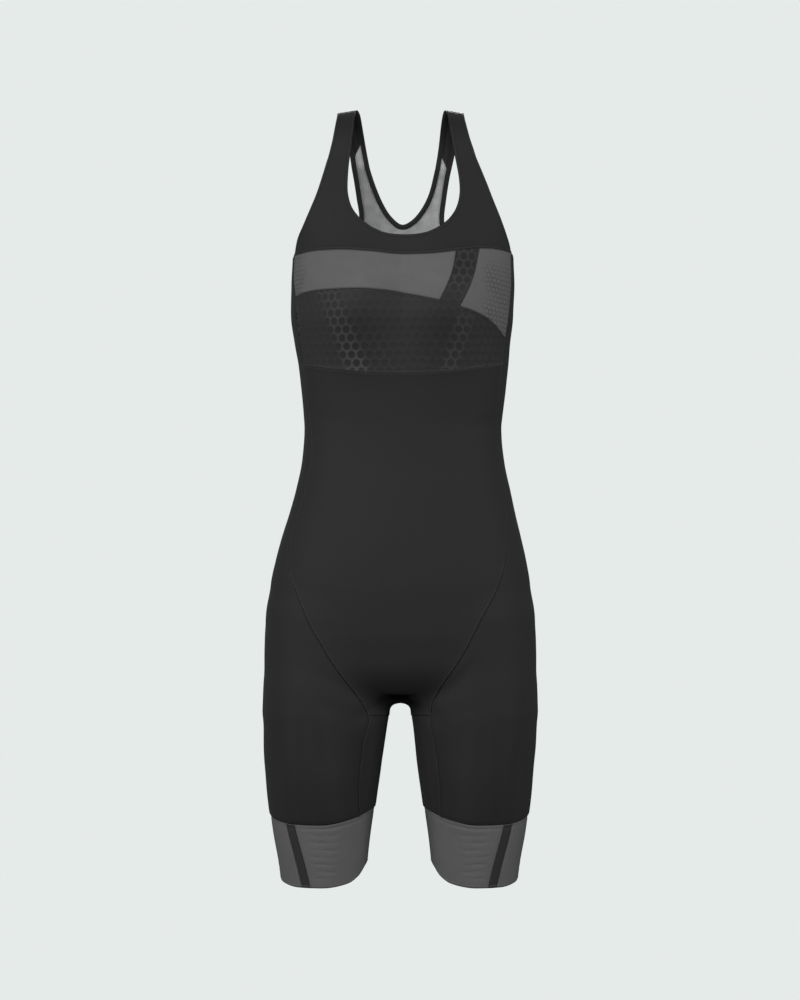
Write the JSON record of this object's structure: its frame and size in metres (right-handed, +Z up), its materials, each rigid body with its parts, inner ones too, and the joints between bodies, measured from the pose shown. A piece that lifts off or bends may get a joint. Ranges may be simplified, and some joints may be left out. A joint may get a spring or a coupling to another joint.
{
  "type": "triathlon suit",
  "caption": "Women's sleeveless triathlon suit with racer back, panelled chest and mid-thigh legs with wide cuffs, held in its worn shape with nobody inside.",
  "frame": {"origin": "between the two shoulder straps, on the level of their highest points, where the wearer's shoulders carry them", "axes": "+Z up along the wearer, +X to the wearer's left, the front of the suit faces -Y"},
  "size_m": [0.3196, 0.2367, 0.9014],
  "materials": {
    "charcoal_jersey": "matt",
    "grey_jersey": "matt",
    "honeycomb_jersey": "matt, embossed",
    "black_jersey": "matt",
    "grey_mesh": "matt"
  },
  "bodies": {
    "root": {"yoke_front": "charcoal_jersey", "chest_panel_r": "grey_jersey", "chest_panel_l": "grey_jersey", "honeycomb_panel": "honeycomb_jersey", "body_front": "charcoal_jersey", "side_leg_r": "charcoal_jersey", "side_leg_l": "charcoal_jersey", "inner_leg_r": "charcoal_jersey", "inner_leg_l": "charcoal_jersey", "cuff_band_r": "grey_jersey", "cuff_band_l": "grey_jersey", "cuff_stripe_r": "black_jersey", "cuff_stripe_l": "black_jersey", "back_racer": "grey_mesh", "back_body": "charcoal_jersey", "neck_binding": "black_jersey", "armhole_binding_r": "black_jersey", "armhole_binding_l": "black_jersey"}
  },
  "joints": []
}
